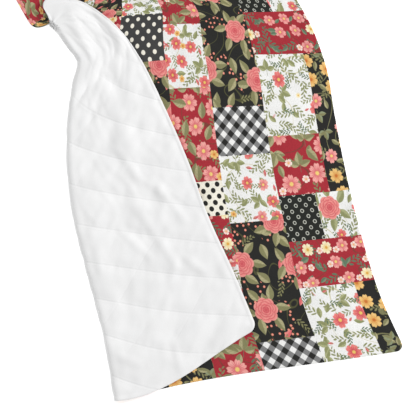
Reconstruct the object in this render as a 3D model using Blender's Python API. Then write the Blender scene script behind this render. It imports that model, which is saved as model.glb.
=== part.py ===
"""Throw quilt lying print side up, its left side folded over so that the white back shows.

Two sewn panels, each one closed solid: the printed top with its batting, and the backing.
Both are worked out on the flat cloth (across from the right edge, up from the bottom hem)
and then laid in its folds. Metres, +Z up, the quilt lies on z = 0.
"""
import math
from collections import namedtuple

import bmesh
import bpy
from mathutils import Vector
from mathutils.geometry import delaunay_2d_cdt

# Cut size of the quilt, a 50 by 60 inch throw
QUILT_WIDTH = 1.270
QUILT_LENGTH = 1.524
CORNER_RADIUS = 0.024

# Diamond quilting: lines 30 degrees to each side of the width
DIAMOND_HEIGHT = 0.110
LINE_SLOPE = math.tan(math.radians(30.0))
CROSS_LINE_START = 0.045
CELL_STEPS = 3

# Thickness at the stitches, and what the filling adds between them
TOP_AT_STITCH = 0.0012
TOP_PUFF = 0.0025
BACK_AT_STITCH = 0.0012
BACK_PUFF = 0.0020
BACK_ON_FLOOR = 0.0015
PANEL_GAP = 0.0004
HEM_TAPER = 0.030

# The turned-over side
FOLD_RADIUS = 0.0105
FOLD_STEPS = 4
FOLD_POINT_PITCH = 0.038
FLAP_HEIGHT = 0.0130
FLAP_LOWEST = 0.0120
ROLL_FADE = 0.075
HEM_PITCH = 0.036
CLEAR_OF_FOLD = 0.028
CLEAR_OF_HEM = 0.016

# Where the cloth lies, a row for each section across it. up: distance from the bottom hem;
# right, fold, free: where the right edge, the fold and the turned-over edge lie in plan;
# fold_at: the fold's distance from the right edge on the flat cloth; pull: length in plan for
# one of cloth near the right edge, the rest being gathered towards the fold; bow and flap_bow:
# how far a section bends up the cloth between its ends. Above the fold's end, fold is the
# left edge.
Section = namedtuple("Section", "up right fold free fold_at pull bow flap_bow")
SECTIONS = [
    Section(0.000, (0.561, -0.405), (-0.265, -0.549), (0.140, -0.343), 0.826, 1.000, 0.014, -0.026),
    Section(0.171, (0.489, -0.244), (-0.296, -0.365), (0.073, -0.182), 0.828, 0.950, 0.016, -0.014),
    Section(0.342, (0.438, -0.081), (-0.343, -0.185), (0.001, -0.023), 0.863, 0.900, 0.017, 0.000),
    Section(0.513, (0.396, 0.086), (-0.386, -0.006), (-0.057, 0.135), 0.882, 0.880, 0.014, 0.000),
    Section(0.684, (0.364, 0.248), (-0.401, 0.180), (-0.125, 0.291), 0.890, 0.860, 0.012, 0.000),
    Section(0.855, (0.332, 0.416), (-0.382, 0.362), (-0.203, 0.443), 0.857, 0.835, 0.018, 0.000),
    Section(0.906, (0.315, 0.465), (-0.370, 0.416), (-0.232, 0.485), 0.843, 0.820, 0.020, 0.000),
    Section(0.941, (0.302, 0.499), (-0.390, 0.446), (-0.254, 0.510), 0.874, 0.800, 0.022, 0.000),
    Section(1.015, (0.271, 0.561), (-0.433, 0.504), (-0.314, 0.561), 0.954, 0.745, 0.026, 0.000),
    Section(1.083, (0.236, 0.624), (-0.445, 0.516), (-0.373, 0.591), 1.069, 0.730, 0.030, 0.000),
    Section(1.140, (0.217, 0.678), (-0.449, 0.520), (-0.430, 0.594), 1.154, 0.720, 0.030, 0.000),
    Section(1.169, (0.211, 0.705), (-0.450, 0.522), (-0.460, 0.593), 1.197, 0.720, 0.030, 0.000),
    Section(1.191, (0.206, 0.727), (-0.452, 0.523), (-0.469, 0.573), 1.237, 0.720, 0.030, 0.000),
    Section(1.211, (0.202, 0.747), (-0.453, 0.524), (-0.459, 0.541), 1.270, 0.720, 0.030, 0.000),
    Section(1.243, (0.202, 0.778), (-0.493, 0.510), (-0.493, 0.520), 1.287, 0.720, 0.028, 0.000),
    Section(1.271, (0.202, 0.807), (-0.513, 0.516), (-0.513, 0.526), 1.288, 0.720, 0.026, 0.000),
    Section(1.300, (0.205, 0.836), (-0.527, 0.536), (-0.527, 0.546), 1.288, 0.720, 0.024, 0.000),
    Section(1.357, (0.214, 0.892), (-0.560, 0.593), (-0.560, 0.603), 1.288, 0.700, 0.020, 0.000),
    Section(1.524, (0.234, 1.057), (-0.667, 0.730), (-0.667, 0.740), 1.288, 0.744, 0.010, 0.000),
]

# Soft creases in plan: from, to, how high the middle stands (below zero is a trough), and
# how far it spreads to each side. The lower layer only lifts, because it lies on the floor.
Crease = namedtuple("Crease", "start end height spread")
LOWER_CREASES = [
    Crease((0.120, 0.640), (0.130, 1.020), 0.016, 0.034),
    Crease((-0.070, 0.660), (-0.120, 0.960), 0.019, 0.036),
    Crease((-0.260, 0.640), (-0.350, 0.850), 0.015, 0.034),
    Crease((0.345, 0.360), (0.250, 0.640), 0.008, 0.030),
    Crease((0.430, -0.060), (0.390, 0.110), 0.005, 0.030),
]
FLAP_CREASES = [
    Crease((-0.345, 0.560), (-0.270, 0.470), -0.004, 0.022),
    Crease((-0.385, 0.545), (-0.330, 0.440), 0.007, 0.024),
    Crease((-0.300, 0.560), (-0.235, 0.450), 0.005, 0.020),
    Crease((-0.325, 0.480), (-0.255, 0.330), -0.005, 0.024),
    Crease((-0.300, 0.375), (-0.385, 0.305), -0.005, 0.022),
    Crease((-0.300, 0.420), (-0.390, 0.350), 0.007, 0.026),
    Crease((-0.290, 0.330), (-0.220, 0.180), 0.004, 0.030),
    Crease((-0.270, -0.440), (-0.150, -0.380), 0.005, 0.034),
    Crease((-0.330, 0.060), (-0.300, -0.230), 0.004, 0.034),
]

PRINT_COLOUR = (0.34, 0.16, 0.15, 1.0)
BACK_COLOUR = (0.86, 0.87, 0.88, 1.0)
CLOTH_ROUGHNESS = 0.92

STEP_FOR_NORMAL = 0.002
QUARTER_BEND = FOLD_RADIUS * math.pi / 2.0


def through_sections(values, up):
    """A smooth curve through one column of the sections, read at a distance up the cloth."""
    ups = [section.up for section in SECTIONS]
    count = len(ups)
    up = min(max(up, ups[0]), ups[-1])
    index = max(i for i in range(count - 1) if ups[i] <= up)
    slopes = [(values[i + 1] - values[i]) / (ups[i + 1] - ups[i]) for i in range(count - 1)]

    def tangent(i):
        if i == 0 or i == count - 1:
            return slopes[min(i, count - 2)]
        before = ups[i] - ups[i - 1]
        after = ups[i + 1] - ups[i]
        return (slopes[i - 1] * after + slopes[i] * before) / (before + after)

    width = ups[index + 1] - ups[index]
    t = (up - ups[index]) / width
    low, high = values[index], values[index + 1]
    return (low * (2 * t ** 3 - 3 * t ** 2 + 1) + high * (3 * t ** 2 - 2 * t ** 3)
            + tangent(index) * width * (t ** 3 - 2 * t ** 2 + t)
            + tangent(index + 1) * width * (t ** 3 - t ** 2))


def column(name, axis=None):
    return [getattr(s, name) if axis is None else getattr(s, name)[axis] for s in SECTIONS]


COLUMNS = {
    "right": (column("right", 0), column("right", 1)),
    "fold": (column("fold", 0), column("fold", 1)),
    "free": (column("free", 0), column("free", 1)),
    "fold_at": column("fold_at"),
    "pull": column("pull"),
    "bow": column("bow"),
    "flap_bow": column("flap_bow"),
}


def plan_point(name, up):
    return Vector([through_sections(values, up) for values in COLUMNS[name]])


def fold_at(up):
    return through_sections(COLUMNS["fold_at"], up)


def crease_height(creases, x, y):
    """What the creases add to the height at a point in plan."""
    total = 0.0
    for crease in creases:
        start = Vector(crease.start)
        along = Vector(crease.end) - start
        offset = Vector((x, y)) - start
        t = offset.dot(along) / along.length_squared
        side = (offset - along * t).length
        beyond = max(-t, t - 1.0, 0.0) * along.length
        spread = crease.spread
        total += crease.height * math.exp(-(side ** 2 + beyond ** 2) / spread ** 2)
    return total


def laid(across, up):
    """The sewn plane between the panels, from a point on the flat cloth to its place."""
    right = plan_point("right", up)
    fold = plan_point("fold", up)
    inward = (right - fold).normalized()
    bend_start = fold + inward * FOLD_RADIUS
    fold_distance = fold_at(up)
    floor_level = BACK_ON_FLOOR + PANEL_GAP / 2.0
    up_cloth = Vector((-inward.y, inward.x))
    if across <= fold_distance - QUARTER_BEND:
        on_floor = fold_distance - QUARTER_BEND
        t = across / on_floor
        even = through_sections(COLUMNS["pull"], up) * on_floor / (right - bend_start).length
        s = even * t + (1.0 - even) * t ** 3
        place = right.lerp(bend_start, s)
        place += up_cloth * through_sections(COLUMNS["bow"], up) * 6.75 * s * s * (1.0 - s)
        lift = crease_height(LOWER_CREASES, place.x, place.y)
        return Vector((place.x, place.y, floor_level + max(lift - 0.0008, 0.0)))
    if across < fold_distance + QUARTER_BEND:
        turn = (across - fold_distance + QUARTER_BEND) / FOLD_RADIUS
        place = bend_start - inward * FOLD_RADIUS * math.sin(turn)
        return Vector((place.x, place.y, floor_level + FOLD_RADIUS * (1.0 - math.cos(turn))))
    free = plan_point("free", up)
    s = (across - fold_distance - QUARTER_BEND) / (QUILT_WIDTH - fold_distance - QUARTER_BEND)
    place = bend_start.lerp(free, s)
    flap_way = (free - bend_start).normalized()
    flap_up = Vector((-flap_way.y, flap_way.x))
    bow = through_sections(COLUMNS["flap_bow"], up)
    place += flap_up * bow * 6.75 * s * (1.0 - s) ** 2
    from_fold = (free - bend_start).length * s
    roll = (floor_level + 2.0 * FOLD_RADIUS - FLAP_HEIGHT) * math.exp(-from_fold / ROLL_FADE)
    crease = crease_height(FLAP_CREASES, place.x, place.y) * min(1.0, from_fold / 0.03)
    return Vector((place.x, place.y, max(FLAP_HEIGHT + roll + crease, FLAP_LOWEST)))


def toward_print(across, up):
    """The direction out of the printed side at a point of the flat cloth."""
    step = STEP_FOR_NORMAL
    left = laid(across + step, up) - laid(across - step, up)
    low = max(up - step, 0.0)
    high = min(up + step, QUILT_LENGTH)
    upward = laid(across, high) - laid(across, low)
    return upward.cross(left).normalized()


def hem_distance(across, up):
    return min(across, QUILT_WIDTH - across, up, QUILT_LENGTH - up)


def puff(across, up):
    """How full the filling stands, from 0 on a line of stitches to 1 inside a diamond."""
    first = math.sin(math.pi * (up + across * LINE_SLOPE) / DIAMOND_HEIGHT)
    second = math.sin(math.pi * (up - across * LINE_SLOPE - CROSS_LINE_START) / DIAMOND_HEIGHT)
    taper = min(1.0, max(hem_distance(across, up), 0.0) / HEM_TAPER)
    return abs(first * second) ** 0.6 * taper


def top_thickness(across, up):
    return TOP_AT_STITCH + TOP_PUFF * puff(across, up)


def back_thickness(across, up):
    """The back is pressed flat on the floor and stands full again on the turned-over side."""
    turned = (across - fold_at(up)) / (2.0 * QUARTER_BEND) + 0.5
    turned = min(1.0, max(0.0, turned))
    full = BACK_AT_STITCH + BACK_PUFF * puff(across, up)
    return BACK_ON_FLOOR * (1.0 - turned) + full * turned


def hem_outline():
    """The cut outline of the cloth: four straight sides and four rounded corners."""
    r = CORNER_RADIUS
    centres = [(r, r, 180.0), (QUILT_WIDTH - r, r, 270.0),
               (QUILT_WIDTH - r, QUILT_LENGTH - r, 0.0), (r, QUILT_LENGTH - r, 90.0)]
    corners = []
    for cx, cy, first in centres:
        for step in range(5):
            angle = math.radians(first + 22.5 * step)
            corners.append(Vector((cx + r * math.cos(angle), cy + r * math.sin(angle))))
    points = []
    for here, after in zip(corners, corners[1:] + corners[:1]):
        steps = max(1, round((after - here).length / HEM_PITCH))
        points += [here.lerp(after, i / steps) for i in range(steps)]
    return points


def fold_lines():
    """Lines along the fold, from where the cloth leaves the floor to where it lies back."""
    rows = int(QUILT_LENGTH / FOLD_POINT_PITCH)
    lines = []
    for step in range(FOLD_STEPS + 1):
        offset = QUARTER_BEND * (2.0 * step / FOLD_STEPS - 1.0)
        line = []
        for row in range(rows + 1):
            up = QUILT_LENGTH * row / rows
            up = min(max(up, CLEAR_OF_HEM), QUILT_LENGTH - CLEAR_OF_HEM)
            across = fold_at(up) + offset
            if across < QUILT_WIDTH - 0.5 * CLEAR_OF_HEM:
                line.append(Vector((across, up)))
        lines.append(line)
    return lines


def quilting_points():
    """A lattice on the stitch lines, with two more points between each pair of lines."""
    pitch = DIAMOND_HEIGHT / CELL_STEPS
    reach = int((QUILT_LENGTH + QUILT_WIDTH) / pitch) + 2
    points = []
    for i in range(reach):
        for j in range(-reach, reach):
            first = i * pitch
            second = j * pitch + CROSS_LINE_START
            across = (first - second) / (2.0 * LINE_SLOPE)
            up = (first + second) / 2.0
            if hem_distance(across, up) < CLEAR_OF_HEM:
                continue
            if abs(across - fold_at(up)) < QUARTER_BEND + CLEAR_OF_FOLD * 0.5:
                continue
            points.append(Vector((across, up)))
    return points


def flat_cloth():
    """Points and triangles of the flat cloth, with its edges on the hem and the fold."""
    outline = hem_outline()
    points = list(outline)
    edges = [(i, (i + 1) % len(outline)) for i in range(len(outline))]
    for line in fold_lines():
        start = len(points)
        points += line
        edges += [(start + i, start + i + 1) for i in range(len(line) - 1)]
    points += quilting_points()
    inside_outline = 1
    result = delaunay_2d_cdt(points, edges, [list(range(len(outline)))], inside_outline, 1e-5)
    return result[0], result[2]


def closed_panel(name, skin_near, skin_far, colour):
    """A closed solid between two offsets from the sewn plane, toward the printed side."""
    points, triangles = flat_cloth()
    bm = bmesh.new()
    near = [bm.verts.new((p.x, p.y, 0.0)) for p in points]
    for triangle in triangles:
        bm.faces.new([near[i] for i in triangle])
    grown = bmesh.ops.extrude_face_region(bm, geom=bm.faces[:], use_keep_orig=True)
    far = [item for item in grown["geom"] if isinstance(item, bmesh.types.BMVert)]
    for verts, skin in ((near, skin_near), (far, skin_far)):
        for vert in verts:
            across, up = vert.co.x, vert.co.y
            out = toward_print(across, up)
            vert.co = laid(across, up) + out * skin(across, up)
    bmesh.ops.recalc_face_normals(bm, faces=bm.faces[:])
    mesh = bpy.data.meshes.new(name)
    bm.to_mesh(mesh)
    bm.free()
    mesh.shade_smooth()
    panel = bpy.data.objects.new(name, mesh)
    panel.data.materials.append(cloth_material(name + "_cloth", colour))
    return panel


def cloth_material(name, colour):
    material = bpy.data.materials.new(name)
    material.use_nodes = True
    shader = material.node_tree.nodes["Principled BSDF"]
    shader.inputs["Base Color"].default_value = colour
    shader.inputs["Roughness"].default_value = CLOTH_ROUGHNESS
    shader.inputs["Metallic"].default_value = 0.0
    return material


def rest_flat_and_centre(panels):
    """Puts the middle of the quilt's plan on the origin and presses its underside on z = 0."""
    corners = [vert.co for panel in panels for vert in panel.data.vertices]
    middle_x = (min(c.x for c in corners) + max(c.x for c in corners)) / 2.0
    middle_y = (min(c.y for c in corners) + max(c.y for c in corners)) / 2.0
    for panel in panels:
        for vert in panel.data.vertices:
            vert.co.x -= middle_x
            vert.co.y -= middle_y
            if vert.co.z < 0.0003:
                vert.co.z = 0.0


def main():
    for item in list(bpy.data.objects):
        bpy.data.objects.remove(item, do_unlink=True)
    quilt = bpy.data.collections.new("quilt")
    bpy.context.scene.collection.children.link(quilt)
    half_gap = PANEL_GAP / 2.0
    printed_top = closed_panel(
        "printed_top",
        lambda across, up: half_gap,
        lambda across, up: half_gap + top_thickness(across, up),
        PRINT_COLOUR)
    backing = closed_panel(
        "backing",
        lambda across, up: -half_gap,
        lambda across, up: -half_gap - back_thickness(across, up),
        BACK_COLOUR)
    rest_flat_and_centre([printed_top, backing])
    for panel in (printed_top, backing):
        quilt.objects.link(panel)


main()
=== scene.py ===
"""Looks of the patchwork throw quilt: printed top, diamond-quilted white back, light, camera.

The cloth is worked out on the flat (across from its right edge, up from its bottom hem, in
metres), laid in the same folds as the CAD solids, and creased. The prints are drawn by shader
formulas on the flat cloth's own coordinates, a material for each kind of patch.
"""
import math

import bmesh
import bpy
import numpy as np
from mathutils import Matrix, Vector


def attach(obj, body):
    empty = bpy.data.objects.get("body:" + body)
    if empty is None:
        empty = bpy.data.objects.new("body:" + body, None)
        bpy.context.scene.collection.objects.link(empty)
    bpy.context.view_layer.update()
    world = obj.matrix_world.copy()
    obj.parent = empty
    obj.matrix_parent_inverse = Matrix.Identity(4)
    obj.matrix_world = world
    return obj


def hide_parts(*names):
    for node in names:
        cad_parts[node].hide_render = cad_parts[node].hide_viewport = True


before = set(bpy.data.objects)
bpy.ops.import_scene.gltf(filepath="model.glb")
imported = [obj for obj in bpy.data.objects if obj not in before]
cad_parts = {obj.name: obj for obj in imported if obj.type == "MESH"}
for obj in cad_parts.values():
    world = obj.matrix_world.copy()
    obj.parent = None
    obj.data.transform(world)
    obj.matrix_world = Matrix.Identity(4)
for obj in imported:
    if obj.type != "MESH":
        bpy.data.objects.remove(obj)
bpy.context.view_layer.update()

# The flat cloth and its quilting, as in the CAD
QUILT_WIDTH = 1.270
QUILT_LENGTH = 1.524
CORNER_RADIUS = 0.024
DIAMOND_HEIGHT = 0.110
LINE_ANGLE = math.radians(30.0)
LINE_SLOPE = math.tan(LINE_ANGLE)
LINE_SPACING = math.cos(LINE_ANGLE) * DIAMOND_HEIGHT
CROSS_LINE_START = 0.045
FOLD_RADIUS = 0.0105
FLAP_HEIGHT = 0.0130
FLAP_LOWEST = 0.0120
ROLL_FADE = 0.075
BACK_ON_FLOOR = 0.0015
SEWN_LEVEL = 0.0017
QUARTER_BEND = FOLD_RADIUS * math.pi / 2.0

# The middle of the quilt's plan, where the part's origin is, in the plan of the sections
PLAN_MIDDLE = (-0.0470, 0.2516)

# Thickness of the two panels at the stitches and what the filling adds
TOP_AT_STITCH = 0.0012
TOP_PUFF = 0.0024
BACK_AT_STITCH = 0.0011
BACK_PUFF = 0.0032
PANEL_GAP = 0.0003
STITCH_VALLEY = 0.014
HEM_STITCH = 0.011
HEM_VALLEY = 0.012
HEM_RIM = 0.26

# How deep the crossing lines draw the cloth in, as a share, and how much that varies
CROSS_SLACK = 0.45
CROSS_SLACK_CHANGE = 0.25

# Where the fold runs out at the side and the cloth is gathered too tightly to stand full:
# the place on the flat cloth and how far the gathering reaches
FOLD_END = (1.235, 1.205)
FOLD_END_REACH = 0.075
EVENING_ROUNDS = 12
EVENING_STEP = 0.8

# The turned-over side is pulled smooth towards its end: this share of the quilting lines fades
# out over a stretch up the cloth, and low down the crossing lines show more
SMOOTH_FROM = 0.72
SMOOTH_STRETCH = 0.13
SMOOTH_SHARE = 0.8
CROSS_LINES_BELOW = 0.55
CROSS_LINES_STRETCH = 0.25

# Heights of the soft and the fine wrinkles where the cloth lies on the floor and where it is
# turned over, and the width from which the turned-over side has room for them
FLOOR_SOFT, FLOOR_FINE = 0.0018, 0.0006
FLAP_SOFT, FLAP_FINE = 0.0026, 0.0014
ROOM_FROM, ROOM_STRETCH = 0.06, 0.20
CREASES_FROM_FOLD = 0.03
FLAP_FILLING = 0.001
PRESSED_DOWN = 0.0008

# s * s * (1 - s) times this is 1 at its peak
BOW_PEAK = 27.0 / 4.0

# The cloth's grid: its pitch, its lines by the hems, and where other lines may start
MESH_PITCH = 0.0072
HEM_LINES = (0.0, 0.003, 0.006, 0.009, 0.011, 0.013, 0.017, 0.022)
CLEAR_OF_HEM = 0.026
NORMAL_STEP = 0.0015
SLIVER = 1e-4

# A pixel of the photo in metres, and the photo's width in pixels
PIXEL = 0.00285
PHOTO_WIDTH = 416

# Cloth: pitch of the threads, scales of the flecks and of the uneven dye, and the stitch lines'
# half widths and depths in the bump
THREAD_PITCH = 0.0011
FLECK_SCALE = 260.0
DYE_SCALE = 9.0
LINE_REACH, LINE_DEPTH = 0.0040, 3.2
CROSS_REACH, CROSS_DEPTH = 0.0035, 1.1
BUMP_HEIGHT = 0.0006
FULL_TURN = 2.0 * math.pi

# Where the cloth lies, a row for each section across it, as in the CAD:
# up, right x y, fold x y, free x y, fold_at, pull, bow, flap_bow
FOLD_AT_COLUMN = 7
SECTIONS = np.array([
    (0.000, 0.561, -0.405, -0.265, -0.549, 0.140, -0.343, 0.826, 1.000, 0.014, -0.026),
    (0.171, 0.489, -0.244, -0.296, -0.365, 0.073, -0.182, 0.828, 0.950, 0.016, -0.014),
    (0.342, 0.438, -0.081, -0.343, -0.185, 0.001, -0.023, 0.863, 0.900, 0.017, 0.000),
    (0.513, 0.396, 0.086, -0.386, -0.006, -0.057, 0.135, 0.882, 0.880, 0.014, 0.000),
    (0.684, 0.364, 0.248, -0.401, 0.180, -0.125, 0.291, 0.890, 0.860, 0.012, 0.000),
    (0.855, 0.332, 0.416, -0.382, 0.362, -0.203, 0.443, 0.857, 0.835, 0.018, 0.000),
    (0.906, 0.315, 0.465, -0.370, 0.416, -0.232, 0.485, 0.843, 0.820, 0.020, 0.000),
    (0.941, 0.302, 0.499, -0.390, 0.446, -0.254, 0.510, 0.874, 0.800, 0.022, 0.000),
    (1.015, 0.271, 0.561, -0.433, 0.504, -0.314, 0.561, 0.954, 0.745, 0.026, 0.000),
    (1.083, 0.236, 0.624, -0.445, 0.516, -0.373, 0.591, 1.069, 0.730, 0.030, 0.000),
    (1.140, 0.217, 0.678, -0.449, 0.520, -0.430, 0.594, 1.154, 0.720, 0.030, 0.000),
    (1.169, 0.211, 0.705, -0.450, 0.522, -0.460, 0.593, 1.197, 0.720, 0.030, 0.000),
    (1.191, 0.206, 0.727, -0.452, 0.523, -0.469, 0.573, 1.237, 0.720, 0.030, 0.000),
    (1.211, 0.202, 0.747, -0.453, 0.524, -0.459, 0.541, 1.270, 0.720, 0.030, 0.000),
    (1.243, 0.202, 0.778, -0.493, 0.510, -0.493, 0.520, 1.287, 0.720, 0.028, 0.000),
    (1.271, 0.202, 0.807, -0.513, 0.516, -0.513, 0.526, 1.288, 0.720, 0.026, 0.000),
    (1.300, 0.205, 0.836, -0.527, 0.536, -0.527, 0.546, 1.288, 0.720, 0.024, 0.000),
    (1.357, 0.214, 0.892, -0.560, 0.593, -0.560, 0.603, 1.288, 0.700, 0.020, 0.000),
    (1.524, 0.234, 1.057, -0.667, 0.730, -0.667, 0.740, 1.288, 0.744, 0.010, 0.000),
])

# Soft creases in plan: from x y, to x y, height of the middle, spread to each side
LOWER_CREASES = [
    (0.120, 0.640, 0.130, 1.020, 0.016, 0.034),
    (-0.070, 0.660, -0.120, 0.960, 0.019, 0.036),
    (-0.260, 0.640, -0.350, 0.850, 0.015, 0.034),
    (0.345, 0.360, 0.250, 0.640, 0.008, 0.030),
    (0.430, -0.060, 0.390, 0.110, 0.005, 0.030),
]
FLAP_CREASES = [
    (-0.345, 0.560, -0.270, 0.470, -0.003, 0.020),
    (-0.385, 0.545, -0.330, 0.440, 0.005, 0.022),
    (-0.300, 0.560, -0.235, 0.450, 0.003, 0.022),
    (-0.325, 0.480, -0.255, 0.330, -0.005, 0.018),
    (-0.300, 0.375, -0.385, 0.305, -0.005, 0.016),
    (-0.300, 0.420, -0.390, 0.350, 0.007, 0.022),
    (-0.290, 0.330, -0.220, 0.180, 0.004, 0.026),
    (-0.270, -0.440, -0.150, -0.380, 0.005, 0.030),
    (-0.330, 0.060, -0.300, -0.230, 0.004, 0.030),
    (-0.251, 0.160, -0.208, 0.103, 0.0034, 0.012),
    (-0.208, 0.094, -0.137, 0.051, 0.0030, 0.011),
    (-0.137, 0.051, -0.066, -0.034, 0.0032, 0.011),
    (-0.194, 0.003, -0.160, -0.063, 0.0036, 0.013),
    (-0.251, -0.063, -0.165, -0.140, 0.0030, 0.011),
    (-0.137, -0.091, -0.088, -0.168, 0.0036, 0.013),
    (-0.066, -0.140, -0.017, -0.177, 0.0028, 0.011),
    (-0.097, -0.382, -0.080, -0.447, 0.0026, 0.011),
    (-0.302, -0.322, -0.259, -0.274, 0.0026, 0.011),
    (-0.316, 0.060, -0.251, 0.140, 0.0022, 0.010),
    (-0.370, 0.300, -0.300, 0.265, 0.0026, 0.011),
    (-0.280, -0.410, -0.200, -0.440, 0.0030, 0.012),
]

# Patches, in pixels at the bottom hem's scale: across from, across to, up from, up to, print
PATCHES = [
    (0, 22.5, 0, 75, "mustard_black"),
    (22.5, 81, 0, 75, "white_sprigs"),
    (0, 81, 75, 122, "red_small"),
    (0, 40, 122, 168, "white_roses"),
    (40, 81, 122, 168, "rings"),
    (0, 22.5, 168, 309, "mustard_black"),
    (22.5, 81, 168, 229, "red_large"),
    (22.5, 81, 229, 310, "white_sprigs"),
    (0, 81, 310, 357, "red_small"),
    (0, 40, 357, 403, "white_roses"),
    (40, 81, 357, 403, "rings"),
    (0, 22.5, 403, 535, "mustard_black"),
    (22.5, 81, 403, 464, "red_large"),
    (22.5, 81, 464, 535, "white_sprigs"),
    (81, 140.5, 0, 27, "gingham"),
    (81, 140.5, 27, 145, "black_roses"),
    (81, 140.5, 145, 212, "white_flowers"),
    (81, 140.5, 212, 260, "gingham"),
    (81, 140.5, 260, 380, "black_roses"),
    (81, 140.5, 380, 451, "white_flowers"),
    (81, 140.5, 451, 497, "gingham"),
    (81, 140.5, 497, 535, "black_roses"),
    (140.5, 188.5, 0, 68, "red_large"),
    (140.5, 188.5, 68, 107, "white_flowers"),
    (140.5, 188.5, 107, 154, "red_small"),
    (140.5, 188.5, 154, 188.5, "dots_cream"),
    (140.5, 188.5, 188.5, 280, "red_flowers"),
    (140.5, 188.5, 280, 343, "white_flowers"),
    (140.5, 188.5, 343, 395, "red_large"),
    (140.5, 188.5, 395, 429, "dots_cream"),
    (140.5, 188.5, 429, 535, "red_flowers"),
    (188.5, 244, 0, 60, "mustard_black"),
    (188.5, 244, 60, 110, "white_roses"),
    (188.5, 244, 110, 158, "dots_charcoal"),
    (188.5, 244, 158, 235, "red_flowers"),
    (188.5, 244, 235, 307, "black_roses"),
    (188.5, 244, 307, 357, "dots_charcoal"),
    (188.5, 244, 357, 410, "white_sprigs"),
    (188.5, 244, 410, 535, "black_roses"),
    (244, 300, 0, 48, "mustard_plain"),
    (244, 300, 48, 120, "black_roses"),
    (244, 300, 120, 190, "white_flowers"),
    (244, 300, 190, 262, "gingham"),
    (244, 300, 262, 335, "white_roses"),
    (244, 300, 335, 357, "red_small"),
    (244, 300, 357, 420, "black_roses"),
    (244, 300, 420, 535, "red_flowers"),
    (300, 375, 0, 80, "red_large"),
    (300, 375, 80, 150, "dots_charcoal"),
    (300, 375, 150, 250, "white_sprigs"),
    (300, 375, 250, 340, "black_roses"),
    (300, 375, 340, 357, "rings"),
    (300, 375, 357, 430, "white_roses"),
    (300, 375, 430, 535, "mustard_black"),
    (375, 446, 0, 90, "black_roses"),
    (375, 446, 90, 180, "white_roses"),
    (375, 446, 180, 260, "red_small"),
    (375, 446, 260, 350, "gingham"),
    (375, 446, 350, 445, "mustard_black"),
    (375, 446, 445, 535, "red_flowers"),
]


def through_sections(number, up):
    """A smooth curve through one column of the sections, read at distances up the cloth."""
    ups = SECTIONS[:, 0]
    values = SECTIONS[:, number]
    widths = np.diff(ups)
    slopes = np.diff(values) / widths
    tangents = np.empty(len(ups))
    tangents[0] = slopes[0]
    tangents[-1] = slopes[-1]
    both = widths[:-1] + widths[1:]
    tangents[1:-1] = (slopes[:-1] * widths[1:] + slopes[1:] * widths[:-1]) / both
    index = np.clip(np.searchsorted(ups, up, side="right") - 1, 0, len(ups) - 2)
    width = widths[index]
    t = (up - ups[index]) / width
    return (values[index] * (2 * t ** 3 - 3 * t ** 2 + 1)
            + values[index + 1] * (3 * t ** 2 - 2 * t ** 3)
            + tangents[index] * width * (t ** 3 - 2 * t ** 2 + t)
            + tangents[index + 1] * width * (t ** 3 - t ** 2))


def fold_distance(up):
    """The fold's distance from the right edge on the flat cloth."""
    return through_sections(FOLD_AT_COLUMN, up)


def crease_height(creases, x, y):
    """What the creases add to the height at points in plan."""
    total = np.zeros_like(x)
    for x0, y0, x1, y1, height, spread in creases:
        dx, dy = x1 - x0, y1 - y0
        length = math.hypot(dx, dy)
        t = ((x - x0) * dx + (y - y0) * dy) / length ** 2
        side = ((x - x0) * dy - (y - y0) * dx) / length
        beyond = np.maximum(np.maximum(-t, t - 1.0), 0.0) * length
        total += height * np.exp(-(side ** 2 + beyond ** 2) / spread ** 2)
    return total


def smooth_noise(x, y, cell, seed):
    """Smooth seeded noise from -1 to 1 with bumps about a cell wide."""
    table = np.random.default_rng(seed).uniform(-1.0, 1.0, (256, 256))
    gx, gy = x / cell + 512.0, y / cell + 512.0
    ix, iy = np.floor(gx).astype(int), np.floor(gy).astype(int)
    fx, fy = gx - ix, gy - iy
    fx = fx * fx * (3.0 - 2.0 * fx)
    fy = fy * fy * (3.0 - 2.0 * fy)
    a = table[ix % 256, iy % 256]
    b = table[(ix + 1) % 256, iy % 256]
    c = table[ix % 256, (iy + 1) % 256]
    d = table[(ix + 1) % 256, (iy + 1) % 256]
    return (a * (1 - fx) + b * fx) * (1 - fy) + (c * (1 - fx) + d * fx) * fy


def line_distances(across, up):
    """Distances from a point of the flat cloth to the nearest stitch line of each direction."""
    first = (up + across * LINE_SLOPE) / DIAMOND_HEIGHT
    second = (up - across * LINE_SLOPE - CROSS_LINE_START) / DIAMOND_HEIGHT
    return tuple(np.abs(v - np.round(v)) * LINE_SPACING for v in (first, second))


def hem_distance(across, up):
    return np.minimum(np.minimum(across, QUILT_WIDTH - across), np.minimum(up, QUILT_LENGTH - up))


def gathered(across, up):
    """How tightly the cloth is gathered by the fold's end, from 0 to 1."""
    squared = (across - FOLD_END[0]) ** 2 + (up - FOLD_END[1]) ** 2
    return np.exp(-(squared / FOLD_END_REACH ** 2) ** 2)


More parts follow.
